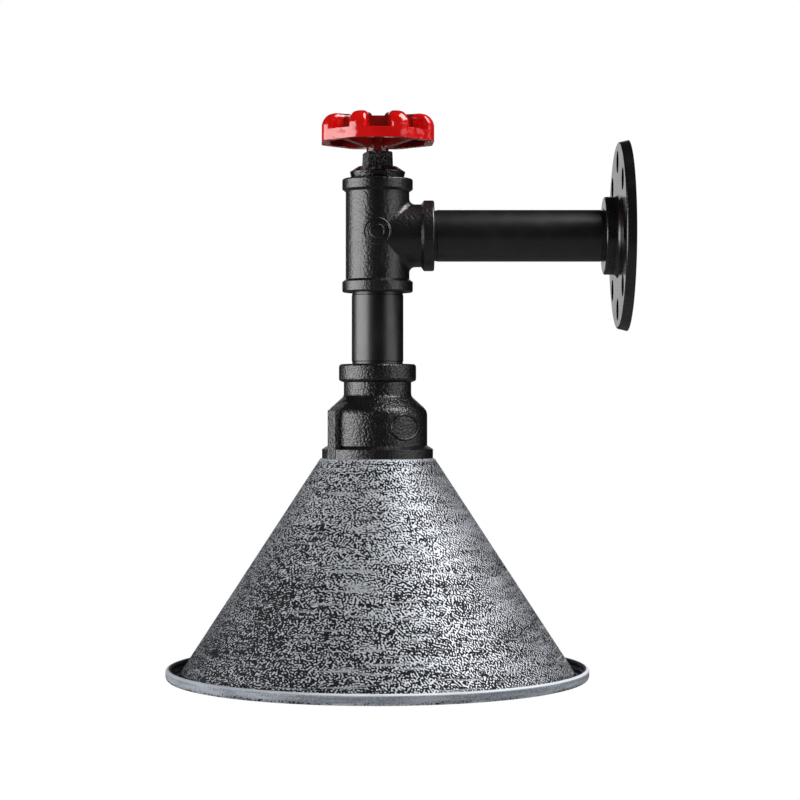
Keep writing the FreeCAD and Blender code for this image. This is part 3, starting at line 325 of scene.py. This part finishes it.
phenolic, shader, place = new_finish("phenolic")
swirl = place.grain(0.006, detail=3.0, distortion=1.0)
dark_phenolic = (0.012, 0.011, 0.010, 1)
pale_phenolic = (0.022, 0.019, 0.017, 1)
set_finish(shader, {
    "Base Color": swirl.rise(0.4, 0.7).between(dark_phenolic, pale_phenolic),
    "Roughness": 0.24 + swirl * 0.1,
    "Normal": raised(place.grain(0.0015, detail=1.0), 0.00002),
})
dress(phenolic, "holder_cap", "holder_shell", "shade_ring")

steatite, shader, place = new_finish("steatite")
speck = place.grain(0.0007, detail=2.0)
cloud = place.grain(0.008, detail=2.0)
warm_white = (0.80, 0.78, 0.72, 1)
clear_white = (0.86, 0.85, 0.80, 1)
speck_brown = (0.55, 0.50, 0.42, 1)
body_white = cloud.rise(0.3, 0.7).between(warm_white, clear_white)
set_finish(shader, {
    "Base Color": speck.rise(0.62, 0.75).between(body_white, speck_brown),
    "Roughness": 0.5 + speck * 0.15,
    "Normal": raised(speck, 0.00003),
})
dress(steatite, "holder_core")

brass, shader, place = new_finish("brass")
tarnish = place.grain(0.003, detail=3.0)
bright_brass = (0.76, 0.57, 0.26, 1)
dull_brass = (0.52, 0.34, 0.14, 1)
set_finish(shader, {
    "Base Color": tarnish.rise(0.4, 0.75).between(bright_brass, dull_brass),
    "Metallic": 1.0,
    "Roughness": 0.2 + tarnish * 0.25,
    "Normal": raised(place.grain(0.0008, detail=1.0), 0.00001),
})
dress(brass, "live_terminal", "neutral_terminal", "contact_rivets", "centre_contact", "screw_shell")


# Screw shell's thread
# Round thread for the bulb, rolled into the brass shell, seven turns to the inch. Half an
# ellipse stands on the shell's inner wall and is swept along the helix.

shell_inner_radius = 0.0135
inch = 0.0254
thread_pitch = inch / 7
thread_turns = 3.7
thread_start = 0.0020
thread_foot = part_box("screw_shell")[0].z + thread_start
thread_half_width = 0.00155
thread_depth = 0.0011
on_wall = (shell_inner_radius, 0, 0)
bpy.ops.mesh.primitive_circle_add(vertices=32, radius=thread_half_width, fill_type="NGON",
                                  location=on_wall, rotation=(math.radians(90), 0, 0))
thread = bpy.context.object
thread.name = "screw_shell_thread"
bpy.ops.object.transform_apply(location=True, rotation=True, scale=True)
bpy.ops.object.mode_set(mode="EDIT")
bpy.ops.mesh.select_all(action="SELECT")
flatten = (thread_depth / thread_half_width, 1, 1)
bpy.ops.transform.resize(value=flatten, center_override=on_wall)
bpy.ops.mesh.bisect(plane_co=on_wall, plane_no=(1, 0, 0), use_fill=True, clear_outer=True)
bpy.ops.object.mode_set(mode="OBJECT")
sweep = thread.modifiers.new("sweep", "SCREW")
sweep.axis = "Z"
sweep.angle = thread_turns * math.tau
sweep.screw_offset = thread_turns * thread_pitch
sweep.steps = 180
sweep.render_steps = 180
sweep.use_smooth_shade = True
bpy.ops.object.modifier_apply(modifier="sweep")
bpy.ops.object.mode_set(mode="EDIT")
bpy.ops.mesh.select_all(action="SELECT")
bpy.ops.mesh.remove_doubles(threshold=0.000001)
bpy.ops.mesh.select_all(action="DESELECT")
bpy.ops.mesh.select_mode(type="EDGE")
bpy.ops.mesh.select_non_manifold()
bpy.ops.mesh.fill_holes(sides=0)
bpy.ops.mesh.select_all(action="SELECT")
bpy.ops.mesh.normals_make_consistent(inside=False)
bpy.ops.transform.translate(value=(0, drop_axis, thread_foot))
bpy.ops.object.mode_set(mode="OBJECT")
bpy.ops.object.shade_smooth_by_angle(angle=math.radians(50))
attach(thread, "lamp_body")
thread.data.materials.append(brass)
bpy.ops.object.select_all(action="DESELECT")


# Shade
# Spun steel cone with a turned-up lip and a rolled edge. Black wrinkle paint covers it, and
# silver is dry-brushed over the wrinkles in level strokes, most of it on the side towards the
# wall. The silver is also painted lighter on that side and darker on the far side, as painted
# light. The inside is white enamel.

shade_paint, shader, place = new_finish("shade_paint")
radius = place.from_axis(0, drop_axis)
height = place.height()

shade_near, shade_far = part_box("shade")
shade_low = shade_near.z
shade_top = shade_far.z
lip_radius = (shade_far.x - shade_near.x) / 2
cone_top_radius = 0.0297
cone_foot_radius = 0.1037
lip_height = 0.0058
sheet = 0.0010
slope = (cone_foot_radius - cone_top_radius) / (shade_top - shade_low - sheet)
cone_radius = cone_top_radius + (shade_top - height) * slope
inside = (cone_radius - radius).rise(0.0004, 0.0008) * (height - shade_low).rise(0.0006, 0.0007)

rolled = radius.rise(lip_radius - 0.0020, lip_radius - 0.0012)
underneath = 1 - (height - shade_low).rise(0.0003, 0.0006)
beyond_cone = (radius - cone_foot_radius).rise(0.0004, 0.0010)
groove = (1 - (1 - beyond_cone) * (1 - underneath)) * (1 - rolled)
foot = radius.rise(cone_foot_radius - 0.0050, cone_foot_radius) * (1 - rolled)
low = 1 - (height - shade_low).rise(0.0008, 0.0034)
collar = (height - shade_top).rise(-0.0018, -0.0004)
crest = rolled * (height - shade_low - lip_height).rise(-0.0012, -0.0006)

wrinkles = place.ridges(spacing=0.00132)
fine = place.grain(0.0008, detail=1.0)
strokes = place.grain(0.0030, detail=3.0, stretch=(0.12, 0.12, 1.0))
broad = place.grain(0.050, detail=2.0, stretch=(0.6, 0.6, 1.0))
streaks = place.grain(0.0015, detail=2.0, stretch=(0.06, 0.06, 1.0))
wallward = place.node("SeparateXYZ", {}, {0: place}, take="Y") - drop_axis
# Side towards the wall: fuller silver, and painted light that makes the silver lighter there.
lit_and_brushed = wallward.rise(-0.06, 0.0)
upper = (height - shade_low) / (shade_top - shade_low)

# How thick the silver lies: by stroke, by region of the cone, and at its edges. By region it
# is fuller towards the wall and towards the top, which paints light onto those parts.
by_stroke = (strokes - 0.5) * (0.11 + lit_and_brushed * 0.12)
by_region = (broad - 0.5) * 0.11 + lit_and_brushed * 0.02 + upper * 0.055
# At the cone's foot, just above the lip, the silver thins: painted shadow of the lip.
at_edges = rolled * (0.48 - low * 0.40) + collar * 0.1 - foot * 0.03
cover = by_stroke + by_region + at_edges + 0.008
silvered = (wrinkles * 0.8 + (fine - 0.5) * 0.20 + cover).rise(0.44, 0.52)
smear = streaks.rise(0.58, 0.70) * (0.2 + lit_and_brushed * 0.4)

wrinkle_black = (0.005, 0.006, 0.009, 1)
shaded_silver = (0.60, 0.63, 0.67, 1)
lit_silver = (0.88, 0.91, 0.97, 1)
smear_silver = (0.62, 0.65, 0.70, 1)
dark_lip = (0.20, 0.22, 0.25, 1)
pale_lip = (0.42, 0.45, 0.50, 1)
enamel = (0.80, 0.79, 0.76, 1)
# Painted light: lit silver towards the wall, shaded silver on the far side.
silver = lit_and_brushed.between(shaded_silver, lit_silver)
lip_grey = (fine * 0.4 + strokes * 0.6).rise(0.36, 0.62).between(dark_lip, pale_lip)
# Painted highlight: the lip's crest takes the lighter silver, most strongly on the side towards the
# wall.
crest_highlight = crest * (0.45 + lit_and_brushed * 0.55)
brushed_on = (rolled * (1 - crest_highlight)).between(silver, lip_grey)
outer_paint = silvered.between(wrinkle_black, brushed_on)
outer_paint = smear.between(outer_paint, smear_silver)
outer_paint = groove.between(outer_paint, wrinkle_black)
metal = silvered * (0.85 - rolled * 0.65) + smear * 0.1
set_finish(shader, {
    "Base Color": inside.between(outer_paint, enamel),
    "Metallic": metal * (1 - inside) * (1 - groove),
    "Specular IOR Level": 0.25,
    "Roughness": 0.58 + silvered * 0.02 - inside * 0.3,
    "Coat Weight": inside * 0.4,
    "Normal": raised(fine * (1 - inside), 0.00012),
})
dress(shade_paint, "shade")


# Wires
# Stranded copper wires in PVC insulation: brown, blue, and green with yellow bands. They run
# from the lampholder up the drop pipe and through the arm, and end in ferrules at the flange.

def insulation(name, colour, stripe):
    """PVC in one colour with bands in another."""
    finish, shader, place = new_finish(name)
    bands = place.node("TexWave", {"bands_direction": "X"}, {"Vector": place, "Scale": 400.0})
    set_finish(shader, {
        "Base Color": bands.rise(0.55, 0.65).between(colour, stripe),
        "Roughness": 0.42 + place.grain(0.002) * 0.1,
    })
    return finish


brown = (0.16, 0.06, 0.03, 1)
pale_brown = (0.17, 0.065, 0.032, 1)
blue = (0.03, 0.12, 0.42, 1)
pale_blue = (0.032, 0.125, 0.43, 1)
green = (0.10, 0.32, 0.05, 1)
yellow = (0.72, 0.62, 0.06, 1)
dress(insulation("brown_wire", brown, pale_brown), "live_wire")
dress(insulation("blue_wire", blue, pale_blue), "neutral_wire")
dress(insulation("earth_wire", green, yellow), "earth_wire")


# Studio floor
# Wide matt board, painted pale grey, far below the lamp as it hangs. It glows nearly white for
# the camera and through glass, and stays dark in the lamp's gloss.

floor_level = -1.6
bpy.ops.mesh.primitive_plane_add(size=12, location=(0, drop_axis, floor_level))
floor = bpy.context.object
floor.name = "floor"
floor_finish = bpy.data.materials.new("pale_floor")
floor_finish.use_nodes = True
floor_finish.cycles.emission_sampling = "NONE"
tree = floor_finish.node_tree
board = tree.nodes["Principled BSDF"]
board.inputs["Base Color"].default_value = (0.86, 0.86, 0.86, 1)
board.inputs["Roughness"].default_value = 0.9


def light_paths(tree):
    """Three masks, each 1 for one kind of ray: from the camera, glossy, and through glass."""
    paths = tree.nodes.new("ShaderNodeLightPath").outputs
    return [Signal(paths["Is %s Ray" % kind]) for kind in ("Camera", "Glossy", "Transmission")]


camera_ray, glossy_ray, glass_ray = light_paths(tree)
seen_glow = 1.25
seen_share = 0.72
gloss_glow = 0.10
gloss_share = 0.94
strength = seen_glow - glossy_ray * (seen_glow - gloss_glow)
glow = strength.node("Emission", {}, {"Color": (1, 1, 1, 1), "Strength": strength})
share = (camera_ray + glass_ray) * seen_share + glossy_ray * gloss_share
mixed = share.node("MixShader", {}, {0: share, 1: Signal(board.outputs[0]), 2: glow})
tree.links.new(mixed.output, tree.nodes["Material Output"].inputs["Surface"])
floor.data.materials.append(floor_finish)


# Studio surroundings and softboxes
# White backdrop all round, which lights the lamp a little and stays dark in its gloss. Cloth
# softboxes to the left, right, behind and above draw the highlights, and one fills from below.

world = bpy.data.worlds.new("studio")
bpy.context.scene.world = world
world.use_nodes = True
world.cycles.sampling_method = "NONE"
tree = world.node_tree
camera_ray, glossy_ray, glass_ray = light_paths(tree)
ambient = 0.40
gloss_ambient = 0.015
direct = camera_ray + glass_ray
level = direct + (1 - direct) * (ambient + glossy_ray * (gloss_ambient - ambient))
tree.links.new(level.output, tree.nodes["Background"].inputs["Strength"])
tree.nodes["Background"].inputs["Color"].default_value = (1, 1, 1, 1)


def softbox(name, middle, aim, width, tall, radiance):
    """Large soft lamp that faces its aim. Radiance 1 is as bright as a white wall."""
    bpy.ops.object.light_add(type="AREA", location=middle)
    lamp = bpy.context.object
    lamp.name = name
    lamp.data.shape = "RECTANGLE"
    lamp.data.size = width
    lamp.data.size_y = tall
    lamp.data.energy = radiance * math.pi * width * tall
    lamp.visible_camera = False
    facing = mathutils.Vector(aim) - mathutils.Vector(middle)
    lamp.rotation_euler = facing.to_track_quat("-Z", "Y").to_euler()
    return lamp


lamp_middle = (0, drop_axis, -0.05)
tee_middle = (0, drop_axis, 0.02)
softbox("left_softbox", (0.26, -1.12, 0.0), lamp_middle, width=1.3, tall=0.6, radiance=3.3)
softbox("right_softbox", (0.38, 0.79, 0.025), tee_middle, width=1.06, tall=0.28, radiance=1.35)
softbox("top_softbox", (0.08, 0.45, 0.69), lamp_middle, width=0.62, tall=0.62, radiance=6.0)
softbox("back_softbox", (-1.10, -0.20, 0.19), lamp_middle, width=0.6, tall=0.46, radiance=0.85)
fill = softbox("fill_below", (0, drop_axis, -1.30), lamp_middle, width=1.4, tall=1.4, radiance=0.9)
fill.visible_glossy = False


# Camera
# Level and square to the arm, like the photograph's. It stands so far out that the lamp's
# middle plane shows at 1920 pixels to the metre.

frame_pixels = 800
pixels_per_metre = 1920
focal_pixels = 2208
sensor_millimetres = 36
picture_y = -0.1183
picture_z = -0.0855
camera_data = bpy.data.cameras.new("camera")
camera = bpy.data.objects.new("camera", camera_data)
bpy.context.scene.collection.objects.link(camera)
camera.location = (focal_pixels / pixels_per_metre, picture_y, picture_z)
camera.rotation_euler = (math.radians(90), 0, math.radians(90))
camera_data.sensor_width = sensor_millimetres
camera_data.lens = focal_pixels / frame_pixels * sensor_millimetres
bpy.context.scene.camera = camera
bpy.context.scene.view_settings.view_transform = "Standard"
